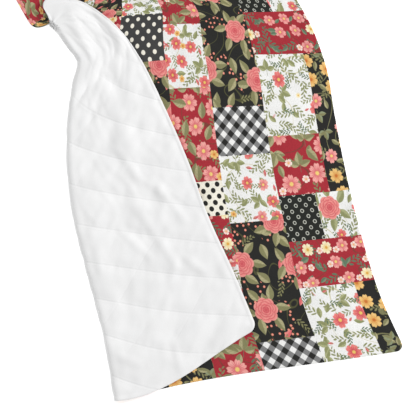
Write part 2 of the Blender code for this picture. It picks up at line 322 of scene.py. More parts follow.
def puff(across, up):
    """How full the filling stands between the stitches, from 0 to 1."""
    first, second = line_distances(across, up)
    hem = hem_distance(across, up)
    turned_over = np.clip((across - fold_distance(up)) / 0.02, 0.0, 1.0)
    smooth = turned_over * np.clip((up - SMOOTH_FROM) / SMOOTH_STRETCH, 0.0, 1.0)
    low = turned_over * np.clip((CROSS_LINES_BELOW - up) / CROSS_LINES_STRETCH, 0.0, 1.0)
    valleys = 1.0 - (1.0 - SMOOTH_SHARE * smooth) * np.exp(-(first / STITCH_VALLEY) ** 2)
    change = smooth_noise(across, up, 0.13, 21) + low
    slack = (CROSS_SLACK + CROSS_SLACK_CHANGE * change) * (1.0 - smooth)
    valleys *= 1.0 - slack * np.exp(-(second / STITCH_VALLEY) ** 2)
    inner = 1.0 - np.exp(-(np.maximum(hem - HEM_STITCH, 0.0) / HEM_VALLEY) ** 2)
    rim = HEM_RIM * np.sin(np.pi * np.clip(hem / HEM_STITCH, 0.0, 1.0))
    return np.where(hem < HEM_STITCH, rim, valleys * inner) * (1.0 - gathered(across, up))


def wrinkles(across, up):
    """Fine puckers of washed, quilted cloth, strongest along the stitches, and softer waves."""
    first, second = line_distances(across, up)
    near = np.exp(-(np.minimum(first, second) / 0.020) ** 2)
    tilt_x = across * 0.8 + up * 0.6
    tilt_y = up * 0.8 - across * 0.6
    fine = smooth_noise(tilt_x, tilt_y * 2.2, 0.026, 3) * (0.35 + 0.65 * near)
    soft = smooth_noise(tilt_x, tilt_y * 1.8, 0.060, 8)
    long_x = across * 0.45 - up * 0.89
    long_y = across * 0.89 + up * 0.45
    ridges = 1.0 - np.abs(smooth_noise(long_x, long_y * 2.6, 0.105, 12))
    where = np.clip(smooth_noise(across, up, 0.24, 17) + 0.35, 0.0, 1.0)
    small = 1.0 - np.abs(smooth_noise(long_x, long_y * 1.6, 0.052, 29))
    return fine + where * (small ** 4 - 0.2), soft + 0.9 * where * (ridges ** 5 - 0.25)


def laid(across, up):
    """The sewn plane between the panels: places of points of the flat cloth, as an array."""
    column = [through_sections(number, up) for number in range(1, 11)]
    right = np.stack(column[0:2], -1)
    fold = np.stack(column[2:4], -1)
    free = np.stack(column[4:6], -1)
    fold_at, pull, bow, flap_bow = column[6:10]
    inward = right - fold
    inward /= np.linalg.norm(inward, axis=-1, keepdims=True)
    bend_start = fold + inward * FOLD_RADIUS
    up_cloth = np.stack((-inward[..., 1], inward[..., 0]), -1)

    flat_width = fold_at - QUARTER_BEND
    t = np.clip(across / flat_width, 0.0, 1.0)
    even = pull * flat_width / np.linalg.norm(right - bend_start, axis=-1)
    s = even * t + (1.0 - even) * t ** 3
    lower = right * (1 - s)[..., None] + bend_start * s[..., None]
    lower += up_cloth * (bow * BOW_PEAK * s * s * (1.0 - s))[..., None]
    fine, soft = wrinkles(across, up)
    lift = crease_height(LOWER_CREASES, lower[..., 0], lower[..., 1])
    on_floor = SEWN_LEVEL + np.maximum(lift - PRESSED_DOWN, 0.0)
    on_floor += np.maximum(soft * FLOOR_SOFT + fine * FLOOR_FINE, 0.0)

    turn = np.clip((across - fold_at + QUARTER_BEND) / FOLD_RADIUS, 0.0, math.pi)
    bend = bend_start - inward * (FOLD_RADIUS * np.sin(turn))[..., None]
    bend_height = SEWN_LEVEL + FOLD_RADIUS * (1.0 - np.cos(turn))

    rest = np.maximum(QUILT_WIDTH - fold_at - QUARTER_BEND, SLIVER)
    s = np.clip((across - fold_at - QUARTER_BEND) / rest, 0.0, 1.0)
    flap_way = free - bend_start
    span = np.linalg.norm(flap_way, axis=-1)
    flap_way = flap_way / np.maximum(span, SLIVER)[..., None]
    flap_up = np.stack((-flap_way[..., 1], flap_way[..., 0]), -1)
    flap = bend_start * (1 - s)[..., None] + free * s[..., None]
    flap += flap_up * (flap_bow * BOW_PEAK * s * (1.0 - s) ** 2)[..., None]
    from_fold = span * s
    roll = (SEWN_LEVEL + 2.0 * FOLD_RADIUS - FLAP_HEIGHT) * np.exp(-from_fold / ROLL_FADE)
    crease = crease_height(FLAP_CREASES, flap[..., 0], flap[..., 1])
    room = np.clip((rest - ROOM_FROM) / ROOM_STRETCH, 0.0, 1.0)
    crease += (fine * FLAP_FINE + soft * FLAP_SOFT) * room
    crease *= np.minimum(1.0, from_fold / CREASES_FROM_FOLD)
    above = np.maximum(FLAP_HEIGHT + FLAP_FILLING + roll + crease, FLAP_LOWEST)

    flat_part = across <= fold_at - QUARTER_BEND
    bent_part = ~flat_part & (across < fold_at + QUARTER_BEND)
    plan = np.where(flat_part[..., None], lower, np.where(bent_part[..., None], bend, flap))
    height = np.where(flat_part, on_floor, np.where(bent_part, bend_height, above))
    place = np.concatenate((plan, height[..., None]), -1)
    place[..., 0] -= PLAN_MIDDLE[0]
    place[..., 1] -= PLAN_MIDDLE[1]
    return place


def round_corners(across, up):
    """Draws the square corners of the cloth's grid in to rounded ones."""
    r = CORNER_RADIUS
    a = np.clip(np.maximum(r - across, across - (QUILT_WIDTH - r)) / r, 0.0, 1.0)
    b = np.clip(np.maximum(r - up, up - (QUILT_LENGTH - r)) / r, 0.0, 1.0)
    inner_across = np.clip(across, r, QUILT_WIDTH - r)
    inner_up = np.clip(up, r, QUILT_LENGTH - r)
    side_a = np.sign(across - inner_across)
    side_b = np.sign(up - inner_up)
    return (inner_across + side_a * r * a * np.sqrt(1.0 - b * b / 2.0),
            inner_up + side_b * r * b * np.sqrt(1.0 - a * a / 2.0))


def evened(directions, across, up):
    """The grid's directions, evened out among the tight gathers at the fold's end."""
    share = gathered(across, up)[..., None] * EVENING_STEP
    for _ in range(EVENING_ROUNDS):
        wide = np.pad(directions, ((1, 1), (1, 1), (0, 0)), mode="reflect", reflect_type="odd")
        around = wide[2:, 1:-1] + wide[:-2, 1:-1] + wide[1:-1, 2:] + wide[1:-1, :-2]
        directions = directions + share * (around / 4.0 - directions)
    return directions / np.linalg.norm(directions, axis=-1, keepdims=True)


def grid_lines(marks, length):
    """Lines across the cloth at every mark and near the hems, evenly filled in between."""
    fixed = set(HEM_LINES) | {length - d for d in HEM_LINES}
    fixed |= {round(m, 5) for m in marks if CLEAR_OF_HEM < m < length - CLEAR_OF_HEM}
    fixed = sorted(fixed)
    lines = []
    for low, high in zip(fixed, fixed[1:]):
        steps = max(1, round((high - low) / MESH_PITCH))
        lines += [low + (high - low) * i / steps for i in range(steps)]
    return np.array(lines + [length])


def cloth_panel(name, marks_across, marks_up, near_offset, far_offset):
    """A closed thin panel between two offsets from the sewn plane, with flat-cloth coordinates.

    Gives the piece, and the middle of each of its faces across and up the flat cloth.
    """
    lines_across = grid_lines(marks_across, QUILT_WIDTH)
    lines_up = grid_lines(marks_up, QUILT_LENGTH)
    columns, rows = len(lines_across), len(lines_up)
    across, up = np.meshgrid(lines_across, lines_up)
    flat_across, flat_up = round_corners(across, up)
    step = NORMAL_STEP
    side = laid(flat_across + step, flat_up) - laid(flat_across - step, flat_up)
    along = (laid(flat_across, np.minimum(flat_up + step, QUILT_LENGTH))
             - laid(flat_across, np.maximum(flat_up - step, 0.0)))
    out = np.cross(along, side)
    out /= np.linalg.norm(out, axis=-1, keepdims=True)
    out = evened(out, across, up)
    middle = laid(flat_across, flat_up)
    near = middle + out * near_offset(across, up)[..., None]
    far = middle + out * far_offset(across, up)[..., None]
    points = np.concatenate((near.reshape(-1, 3), far.reshape(-1, 3)))
    count = columns * rows

    index = np.arange(count).reshape(rows, columns)
    a, b = index[:-1, :-1].ravel(), index[:-1, 1:].ravel()
    c, d = index[1:, 1:].ravel(), index[1:, :-1].ravel()
    toward_print = far_offset(np.array([0.5]), np.array([0.5]))[0] > 0.0
    outer = np.stack((a, d, c, b), -1) + count
    inner = np.stack((a, b, c, d), -1)
    rim = np.concatenate((index[0, :], index[1:, -1], index[-1, -2::-1], index[-2:0:-1, 0]))
    after = np.roll(rim, -1)
    walls = np.stack((rim, rim + count, after + count, after), -1)
    faces = np.concatenate((outer, inner, walls))
    if not toward_print:
        faces = faces[:, ::-1]
    mesh = bpy.data.meshes.new(name)
    mesh.from_pydata(points.tolist(), [], faces.tolist())
    uv = np.stack((QUILT_WIDTH - across, up), -1).reshape(-1, 2)
    uv = np.concatenate((uv, uv))
    layer = mesh.uv_layers.new(name="cloth")
    layer.uv.foreach_set("vector", uv[faces.ravel()].ravel())
    mesh.shade_smooth()
    piece = bpy.data.objects.new(name, mesh)
    bpy.context.scene.collection.objects.link(piece)
    face_points = uv[faces].mean(axis=1)
    return piece, QUILT_WIDTH - face_points[:, 0], face_points[:, 1]


class Field:
    """A number drawn over the cloth by shader nodes; arithmetic on it adds the nodes."""

    def __init__(self, tree, socket):
        self.tree = tree
        self.socket = socket

    def _math(self, operation, *others, clamp=False):
        node = self.tree.nodes.new("ShaderNodeMath")
        node.operation = operation
        node.use_clamp = clamp
        for number, value in enumerate((self,) + others):
            if isinstance(value, Field):
                self.tree.links.new(value.socket, node.inputs[number])
            else:
                node.inputs[number].default_value = value
        return Field(self.tree, node.outputs[0])

    def __add__(self, other):
        return self._math("ADD", other)

    __radd__ = __add__

    def __sub__(self, other):
        return self._math("SUBTRACT", other)

    def __rsub__(self, other):
        return (self * -1.0) + other

    def __mul__(self, other):
        return self._math("MULTIPLY", other)

    def __truediv__(self, other):
        return self._math("DIVIDE", other)

    def __neg__(self):
        return self * -1.0

    def abs(self):
        return self._math("ABSOLUTE")

    def sin(self):
        return self._math("SINE")

    def cos(self):
        return self._math("COSINE")

    def root(self):
        return self._math("SQRT")

    def power(self, exponent):
        return self._math("POWER", exponent)

    def fraction(self):
        return self._math("FRACT")

    def floor(self):
        return self._math("FLOOR")

    def angle_with(self, x):
        return self._math("ARCTAN2", x)

    def at_most(self, other):
        return self._math("MINIMUM", other)

    def at_least(self, other):
        return self._math("MAXIMUM", other)

    def clipped(self):
        """The number held between 0 and 1."""
        return self._math("ADD", 0.0, clamp=True)

    def edge(self, softness):
        """1 where the number is above zero, with a soft edge."""
        return self._math("DIVIDE", softness, clamp=True)


class Print:
    """The drawing of one print: a base colour, then motifs laid over it in order."""

    def __init__(self, name):
        self.material = bpy.data.materials.new(name)
        self.material.use_nodes = True
        self.tree = self.material.node_tree
        self.shader = self.tree.nodes["Principled BSDF"]
        place = self.tree.nodes.new("ShaderNodeUVMap")
        place.uv_map = "cloth"
        self.place = place.outputs[0]
        split = self.tree.nodes.new("ShaderNodeSeparateXYZ")
        self.tree.links.new(self.place, split.inputs[0])
        self.x = Field(self.tree, split.outputs[0])
        self.y = Field(self.tree, split.outputs[1])
        self.colour = None

    def vector(self, x, y):
        node = self.tree.nodes.new("ShaderNodeCombineXYZ")
        for number, value in enumerate((x, y)):
            self.tree.links.new(value.socket, node.inputs[number])
        return node.outputs[0]

    def base(self, colour):
        node = self.tree.nodes.new("ShaderNodeRGB")
        node.outputs[0].default_value = (*colour, 1.0)
        self.colour = node.outputs[0]

    def mix(self, amount, low, high):
        node = self.tree.nodes.new("ShaderNodeMix")
        node.data_type = "RGBA"
        sockets = node.inputs[0], node.inputs[6], node.inputs[7]
        for socket, value in zip(sockets, (amount, low, high)):
            if isinstance(value, Field):
                self.tree.links.new(value.socket, socket)
            elif isinstance(value, bpy.types.NodeSocket):
                self.tree.links.new(value, socket)
            elif isinstance(value, tuple):
                socket.default_value = (*value, 1.0)
            else:
                socket.default_value = value
        return node.outputs[2]

    def lay(self, mask, colour):
        """Covers what is drawn so far with a colour, where the mask is 1."""
        self.colour = self.mix(mask, self.colour, colour)

    def noise(self, scale, detail=2.0):
        node = self.tree.nodes.new("ShaderNodeTexNoise")
        node.noise_dimensions = "2D"
        node.inputs["Scale"].default_value = scale
        node.inputs["Detail"].default_value = detail
        self.tree.links.new(self.place, node.inputs["Vector"])
        return Field(self.tree, node.outputs[0])

    def lattice(self, size, angle, shift, jitter=0.25):
        """Cells of a half-drop repeat: a turned place inside each, and a number for its motif."""
        c, s = math.cos(angle), math.sin(angle)
        u = (self.x * c + self.y * s) / size + (shift + 40.0)
        column = u.floor()
        v = (self.y * c - self.x * s) / size + column * 0.5 + (shift * 1.7 + 40.0)
        row = v.floor()
        node = self.tree.nodes.new("ShaderNodeTexWhiteNoise")
        node.noise_dimensions = "2D"
        self.tree.links.new(self.vector(column + 0.37, row + shift), node.inputs["Vector"])
        own = self.tree.nodes.new("ShaderNodeSeparateColor")
        self.tree.links.new(node.outputs["Color"], own.inputs[0])
        one, two, three = [Field(self.tree, own.outputs[i]) for i in range(3)]
        dx = (u - column - 0.5 - (one - 0.5) * jitter) * size
        dy = (v - row - 0.5 - (two - 0.5) * jitter) * size
        lx, ly = turned(dx, dy, three * FULL_TURN)
        return lx, ly, (one * 7.0 + two * 5.0).fraction()

    def blossom(self, lx, ly, radius, petals, colours, chance):
        """An open flower: notched petals, deep pink streaks at the heart, paler rims, an eye."""
        inner, outer, eye = colours
        r = (lx * lx + ly * ly).root() / radius
        angle = ly.angle_with(lx)
        wave = (angle * (petals / 2.0)).cos().abs()
        notch = (wave - 0.90).at_least(0.0) * 1.1
        reach = wave.power(0.5) * 0.42 + 0.58 - notch + (angle * 2.0).sin() * 0.05
        shape = (reach - r).edge(0.09) * chance
        streak = (angle * (petals * 3.0)).cos() * 0.16
        shade = ((r - 0.14 + streak) * 1.9).clipped() * (wave * 0.4 + 0.6)
        self.lay(shape, self.mix(shade, inner, outer))
        parting = (wave * -1.0 + 0.24).edge(0.16) * (r * -1.0 + 0.9).edge(0.3)
        self.lay(shape * parting * 0.55, inner)
        self.lay((r * -1.0 + 0.25).edge(0.10) * chance, eye)

    def rose(self, dx, dy, radius, colours, chance):
        """A full rose: rings of scalloped petals with pale rims, closing on a deep heart."""
        dark, middle, light = colours
        r = (dx * dx + dy * dy).root() / radius
        angle = dy.angle_with(dx)
        rings = (1.0, 7, 0.4), (0.79, 6, 1.3), (0.58, 5, 2.1), (0.38, 4, 0.2), (0.20, 3, 1.0)
        for size, petals, start in rings:
            scallop = (angle * (petals / 2.0) + start).cos().abs().power(0.6)
            reach = (scallop * 0.17 + (angle + start * 2.0).sin() * 0.04 + 0.84) * size
            shape = (reach - r).edge(0.05) * chance
            if size < 1.0:
                shadow = (reach + 0.08 - r).edge(0.10) * chance
                self.lay(shadow * 0.6, dark)
            rim = ((r / reach - 0.62) * 2.8).clipped() * (scallop * 0.5 + 0.5)
            self.lay(shape, self.mix(rim, middle, light))
        self.lay((r * -1.0 + 0.30).edge(0.30) * chance * 0.6, dark)

    def leaf(self, lx, ly, length, width, colours, chance):
        """A pointed leaf along its own x, from its middle: a darker half, rib and side veins."""
        dark, light = colours
        t = lx / length
        belly = (t * t * -1.0 + 1.0) * (t * -0.28 + 1.0) * width
        shape = (belly - ly.abs()).edge(width * 0.16) * chance
        half = ly.edge(width * 0.3) * 0.55
        rim = (belly - ly.abs() - width * 0.22).edge(width * -0.3) * 0.5
        self.lay(shape, self.mix((half + rim).clipped(), dark, light))
        veins = ((lx - ly.abs() * 0.9) / length * 15.0).sin() * 0.5 + 0.1
        self.lay(shape * veins.clipped() * 0.45, dark)
        self.lay(shape * (ly.abs() * -1.0 + width * 0.09).edge(width * 0.09) * 0.8, dark)

    def leaf_group(self, lx, ly, length, width, colours, stem, chance):
        """A leaf straight ahead and one to each side of it, on a short stem."""
        self.lay((ly.abs() * -1.0 + 0.0010).edge(0.0008) * (lx.abs() * -1.0 + length).edge(0.001)
                 * chance, stem)
        self.leaf(lx - length, ly, length * 0.95, width, colours, chance)
        c, s = math.cos(1.25), math.sin(1.25)
        side = ly.abs()
        px, py = lx * c + side * s, side * c - lx * s
        self.leaf(px - length + 0.001, py, length * 0.85, width * 0.85, colours, chance)

    def wreath(self, dx, dy, distance, length, width, colours, chance, count=6):
        """Leaves set all round a middle, each pointing outward and a little aside."""
        angle = dy.angle_with(dx) + FULL_TURN
        r = (dx * dx + dy * dy).root()
        number = (angle * (count / FULL_TURN)).floor()
        off = angle - (number + 0.5) * (FULL_TURN / count)
        px, py = turned(r * off.cos() - distance, r * off.sin(), (number * 2.3).sin() * 0.55)
        self.leaf(px, py, length, width, colours, chance)

    def sprig(self, lx, ly, length, reach, pitch, colour, stem, chance):
        """A bent stem with small leaves slanting forward from it, left and right in turn."""
        bent = ly + lx * lx * (0.22 / length)
        within = (lx.abs() * -1.0 + length).edge(0.001)
        taper = lx * (-0.25 / length) + 0.80
        out = bent.abs() / (taper * reach)
        side = bent.edge(0.0002) * 0.5
        place = ((lx - bent.abs() * 0.9) / pitch + side + 20.0).fraction() - 0.5
        half = (out * (out * -1.0 + 1.0)).at_least(0.0).root() * 0.66
        leaves = (half - place.abs()).edge(0.12) * within * chance
        self.lay((bent.abs() * -1.0 + 0.0008).edge(0.0007) * within * chance, stem)
        self.lay(leaves, colour)

    def bud(self, lx, ly, length, colours, leaf_colour, chance):
        """A closed bud in its green cup."""
        self.leaf(lx, ly, length, length * 0.42, colours, chance)
        cup = (ly.abs() * -1.0 + length * 0.30 + lx * 0.35).edge(length * 0.08)
        cup = cup * (lx * -1.0 - length * 0.15).edge(length * 0.1) * (lx + length).edge(0.001)
        self.lay(cup * chance, leaf_colour)

    def tendrils(self, scale, width, colour):
        """Fine wandering stems, along the level lines of a noise."""
        level = (self.noise(scale, 0.0) * 4.0).fraction() - 0.5
        self.lay((level.abs() * -1.0 + width * 4.0).edge(width * 2.0) * 0.85, colour)

    def berries(self, size, radius, colour, bunching):
        """Small round berries, kept to the places where a slow noise runs high."""
        lx, ly, own = self.lattice(size, 0.4, 0.21, jitter=0.6)
        r = (lx * lx + ly * ly).root()
        where = (self.noise(bunching, 0.0) - 0.52).edge(0.02) * chosen(own, 0.0, 0.8)
        self.lay((r * -1.0 + radius).edge(radius * 0.3) * where, colour)
        self.lay((r * -1.0 + radius * 0.35).edge(radius * 0.3) * where, BERRY_LIGHT)

    def finish(self, roughness=0.9, weave=1.0, grain=0.32, cross=CROSS_DEPTH,
               smooth_from=QUILT_LENGTH):
        """The cloth itself: threads, unevenness of dye, stitch lines and a soft sheen."""
        thread = math.pi / THREAD_PITCH
        threads = (self.x * thread).sin() * (self.y * thread).sin()
        fleck = self.noise(FLECK_SCALE, 1.0)
        fade = self.noise(DYE_SCALE, 2.0)
        tone = fleck * grain + fade * 0.10 + (0.95 - grain / 2.0)
        node = self.tree.nodes.new("ShaderNodeMix")
        node.data_type = "RGBA"
        node.blend_type = "MULTIPLY"
        node.inputs[0].default_value = 1.0
        self.tree.links.new(self.colour, node.inputs[6])
        grey = self.tree.nodes.new("ShaderNodeCombineColor")
        for socket in grey.inputs[:3]:
            self.tree.links.new(tone.socket, socket)
        self.tree.links.new(grey.outputs[0], node.inputs[7])
        self.tree.links.new(node.outputs[2], self.shader.inputs["Base Color"])
        relief = threads * 0.25 * weave + fleck * 0.5
        first, second = self.stitch_distance()
        groove = (first * -1.0 + LINE_REACH).edge(LINE_REACH) * -LINE_DEPTH
        groove = groove.at_most((second * -1.0 + CROSS_REACH).edge(CROSS_REACH) * -cross)
        smooth = ((self.y - smooth_from) / SMOOTH_STRETCH).clipped()
        groove = groove * (1.0 - smooth * SMOOTH_SHARE)
        dx = self.x - (QUILT_WIDTH - FOLD_END[0])
        dy = self.y - FOLD_END[1]
        away = ((dx * dx + dy * dy).root() * 1.3 - FOLD_END_REACH).edge(0.02)
        self.bump(relief + groove * away)
        self.shader.inputs["Roughness"].default_value = roughness
        self.shader.inputs["Specular IOR Level"].default_value = 0.25
        self.shader.inputs["Sheen Weight"].default_value = 0.15
        self.shader.inputs["Sheen Roughness"].default_value = 0.5
        return self.material

    def stitch_distance(self):
        """Distances to the nearest stitch line of each direction, in metres."""
        across = self.x * -1.0 + QUILT_WIDTH
        first = (self.y + across * LINE_SLOPE) / DIAMOND_HEIGHT
        second = (self.y - across * LINE_SLOPE - CROSS_LINE_START) / DIAMOND_HEIGHT
        return tuple(((v + 10.5).fraction() - 0.5).abs() * LINE_SPACING for v in (first, second))

    def bump(self, height):
        node = self.tree.nodes.new("ShaderNodeBump")
        node.inputs["Strength"].default_value = 0.35
        node.inputs["Distance"].default_value = BUMP_HEIGHT
        self.tree.links.new(height.socket, node.inputs["Height"])
        self.tree.links.new(node.outputs[0], self.shader.inputs["Normal"])


def turned(x, y, angle):
    """A place as seen from axes that are turned by an angle."""
    c, s = angle.cos(), angle.sin()
    return x * c + y * s, y * c - x * s


def linear(red, green, blue):
    """A colour given as it looks, 0 to 255, in the renderer's linear numbers."""
    return tuple(((v / 255.0 + 0.055) / 1.055) ** 2.4 for v in (red, green, blue))


# Dyes: flowers as inner, outer and eye, the rose as dark, middle and light, leaves as dark, light
BLACK = linear(38, 38, 36)
CHARCOAL = linear(66, 66, 66)
CREAM = linear(247, 243, 228)
RED = linear(170, 46, 56)
WHITE = linear(244, 244, 242)
PINKS = (linear(216, 98, 106), linear(247, 174, 166), linear(244, 210, 124))
CORALS = (linear(204, 72, 84), linear(240, 136, 130), linear(240, 200, 108))
CREAMS = (linear(240, 212, 136), linear(251, 242, 210), linear(226, 166, 76))
MUSTARDS = (linear(224, 156, 78), linear(246, 206, 132), linear(208, 120, 56))
SMALL_WHITES = (linear(240, 170, 160), linear(252, 240, 228), linear(236, 190, 96))
ROSE = (linear(190, 66, 78), linear(226, 108, 112), linear(246, 164, 154))
SAGE = (linear(136, 134, 94), linear(208, 200, 156))
TEAL = (linear(98, 122, 98), linear(152, 168, 138))
OLIVE = (linear(146, 150, 104), linear(196, 198, 152))
STEM = linear(138, 142, 104)
DARK_STEM = linear(86, 86, 54)
RED_STEM = linear(120, 66, 54)
BERRY = linear(238, 146, 124)
BERRY_LIGHT = linear(250, 205, 185)


def chosen(number, low, high):
    """1 where a cell's own number lies between two limits."""
    return (number * -1.0 + high).edge(0.001) * (number - low).edge(0.001)


def roses(drawing, size, shift, radius, leaves):
    """Large roses in a half-drop repeat, each with a wreath of leaves."""
    dx, dy, own = drawing.lattice(size, 0.30, shift, jitter=0.12)
    there = chosen(own, 0.0, 1.0)
    drawing.wreath(dx, dy, radius * 1.42, radius * 0.66, radius * 0.33, leaves, there)
    drawing.rose(dx, dy, radius, ROSE, there)


def undergrowth(drawing, size, shift, tones, stem, share):
    """Sprigs and single leaves strewn under a print's main motifs."""
    lx, ly, own = drawing.lattice(size, 1.1, shift, jitter=0.40)
    drawing.sprig(lx, ly, size * 0.50, size * 0.26, size * 0.27, tones[0], stem,
                  chosen(own, 0.0, share * 0.6))
    drawing.leaf(lx, ly, size * 0.36, size * 0.18, tones, chosen(own, share * 0.6, share))


def print_black_roses():
    drawing = Print("print_black_roses")
    drawing.base(BLACK)
    drawing.tendrils(10.0, 0.010, DARK_STEM)
    drawing.berries(0.0150, 0.0040, BERRY, 11.0)
    lx, ly, own = drawing.lattice(0.060, 0.9, 0.37)
    drawing.leaf(lx, ly, 0.0240, 0.0130, SAGE, chosen(own, 0.0, 0.46))
    drawing.bud(lx, ly, 0.0170, (ROSE[1], ROSE[2]), SAGE[0], chosen(own, 0.46, 0.62))
    drawing.sprig(lx, ly, 0.0230, 0.0110, 0.0115, SAGE[0], DARK_STEM, chosen(own, 0.62, 0.80))
    roses(drawing, 0.148, 0.18, 0.0365, SAGE)
    return drawing.finish()


def print_red_small():
    drawing = Print("print_red_small")
    drawing.base(RED)
    drawing.tendrils(9.0, 0.009, RED_STEM)
    undergrowth(drawing, 0.0480, 0.12, TEAL, TEAL[0], 0.60)
    lx, ly, own = drawing.lattice(0.0500, 0.5, 0.23, jitter=0.15)
    drawing.sprig(lx, ly, 0.0250, 0.0140, 0.0145, TEAL[0], TEAL[0], chosen(own, 0.0, 0.36))
    drawing.blossom(lx, ly, 0.0205, 5, PINKS, chosen(own, 0.36, 0.70))
    drawing.blossom(lx, ly, 0.0195, 6, CREAMS, chosen(own, 0.70, 1.0))
    lx, ly, own = drawing.lattice(0.0500, 0.5, 0.73, jitter=0.15)
    drawing.blossom(lx, ly, 0.0110, 5, SMALL_WHITES, chosen(own, 0.0, 0.50))
    drawing.leaf(lx, ly, 0.0130, 0.0060, TEAL, chosen(own, 0.50, 1.0))
    return drawing.finish()


def print_red_flowers():
    drawing = Print("print_red_flowers")
    drawing.base(RED)
    drawing.tendrils(8.0, 0.009, RED_STEM)
    undergrowth(drawing, 0.0520, 0.66, SAGE, SAGE[0], 0.75)
    lx, ly, own = drawing.lattice(0.0660, 0.2, 0.41, jitter=0.15)
    drawing.leaf_group(lx + 0.024, ly, 0.0190, 0.0120, SAGE, SAGE[0], chosen(own, 0.0, 0.36))
    drawing.blossom(lx, ly, 0.0275, 6, PINKS, chosen(own, 0.36, 0.76))
    drawing.blossom(lx, ly, 0.0240, 5, CREAMS, chosen(own, 0.76, 1.0))
    lx, ly, own = drawing.lattice(0.0660, 0.2, 0.91, jitter=0.15)
    drawing.leaf(lx, ly, 0.0240, 0.0130, SAGE, chosen(own, 0.0, 0.66))
    drawing.blossom(lx, ly, 0.0145, 5, MUSTARDS, chosen(own, 0.66, 1.0))
    return drawing.finish()


def print_red_large():
    drawing = Print("print_red_large")
    drawing.base(RED)
    drawing.tendrils(6.0, 0.009, RED_STEM)
    undergrowth(drawing, 0.0560, 0.33, SAGE, TEAL[0], 0.70)
    lx, ly, own = drawing.lattice(0.0780, 0.7, 0.59, jitter=0.15)
    drawing.leaf_group(lx + 0.030, ly, 0.0220, 0.0130, SAGE, TEAL[0], chosen(own, 0.0, 0.52))
    drawing.blossom(lx, ly, 0.0310, 7, PINKS, chosen(own, 0.52, 1.0))
    lx, ly, own = drawing.lattice(0.0780, 0.7, 1.09, jitter=0.15)
    drawing.leaf(lx, ly, 0.0250, 0.0130, SAGE, chosen(own, 0.0, 0.50))
    drawing.sprig(lx, ly, 0.0270, 0.0140, 0.0145, TEAL[0], TEAL[0], chosen(own, 0.50, 0.78))
    drawing.blossom(lx, ly, 0.0130, 5, SMALL_WHITES, chosen(own, 0.78, 1.0))
    return drawing.finish()


def print_white_sprigs():
    drawing = Print("print_white_sprigs")
    drawing.base(WHITE)
    drawing.tendrils(5.0, 0.004, SAGE[1])
    undergrowth(drawing, 0.0440, 0.17, OLIVE, STEM, 0.80)
    lx, ly, own = drawing.lattice(0.0520, 0.6, 0.31)
    drawing.sprig(lx, ly, 0.0260, 0.0135, 0.0135, OLIVE[0], STEM, chosen(own, 0.0, 0.54))
    drawing.leaf_group(lx + 0.016, ly, 0.0170, 0.0095, OLIVE, STEM, chosen(own, 0.54, 0.78))
    drawing.blossom(lx, ly, 0.0245, 5, CORALS, chosen(own, 0.78, 1.0))
    lx, ly, own = drawing.lattice(0.0520, 0.6, 0.81)
    drawing.sprig(lx, ly, 0.0190, 0.0090, 0.0095, TEAL[0], STEM, chosen(own, 0.0, 0.55))
    drawing.leaf(lx, ly, 0.0170, 0.0085, OLIVE, chosen(own, 0.55, 0.70))
    drawing.blossom(lx, ly, 0.0090, 5, CREAMS, chosen(own, 0.70, 0.80))
    drawing.bud(lx, ly, 0.0085, (PINKS[0], PINKS[1]), OLIVE[0], chosen(own, 0.80, 1.0))
    return drawing.finish()


def print_white_flowers():
    drawing = Print("print_white_flowers")
    drawing.base(WHITE)
    drawing.tendrils(5.0, 0.004, SAGE[1])
    undergrowth(drawing, 0.0440, 0.58, OLIVE, STEM, 0.85)
    lx, ly, own = drawing.lattice(0.0500, 0.3, 0.35)
    drawing.sprig(lx, ly, 0.0260, 0.0135, 0.0135, OLIVE[0], STEM, chosen(own, 0.0, 0.42))
    drawing.leaf_group(lx + 0.016, ly, 0.0165, 0.0095, OLIVE, STEM, chosen(own, 0.42, 0.62))
    drawing.blossom(lx, ly, 0.0205, 5, CORALS, chosen(own, 0.62, 0.84))
    drawing.blossom(lx, ly, 0.0190, 5, PINKS, chosen(own, 0.84, 1.0))
    lx, ly, own = drawing.lattice(0.0500, 0.3, 0.85)
    drawing.sprig(lx, ly, 0.0190, 0.0090, 0.0095, OLIVE[0], STEM, chosen(own, 0.0, 0.46))
    drawing.leaf(lx, ly, 0.0170, 0.0085, OLIVE, chosen(own, 0.46, 0.64))
    drawing.blossom(lx, ly, 0.0105, 5, MUSTARDS, chosen(own, 0.64, 0.80))
    drawing.bud(lx, ly, 0.0110, (PINKS[0], PINKS[1]), OLIVE[0], chosen(own, 0.80, 1.0))
    return drawing.finish()


def print_white_roses():
    drawing = Print("print_white_roses")
    drawing.base(WHITE)
    drawing.tendrils(5.0, 0.004, SAGE[1])
    undergrowth(drawing, 0.0440, 0.28, OLIVE, STEM, 0.80)
    lx, ly, own = drawing.lattice(0.0500, 0.8, 0.49)
    drawing.sprig(lx, ly, 0.0260, 0.0135, 0.0135, OLIVE[0], STEM, chosen(own, 0.0, 0.45))
    drawing.leaf(lx, ly, 0.0240, 0.0115, OLIVE, chosen(own, 0.45, 0.75))
    drawing.blossom(lx, ly, 0.0180, 5, CORALS, chosen(own, 0.75, 1.0))
    lx, ly, own = drawing.lattice(0.0500, 0.8, 0.99)
    drawing.sprig(lx, ly, 0.0190, 0.0090, 0.0095, TEAL[0], STEM, chosen(own, 0.0, 0.7))
    roses(drawing, 0.150, 0.06, 0.0350, OLIVE)
    return drawing.finish()


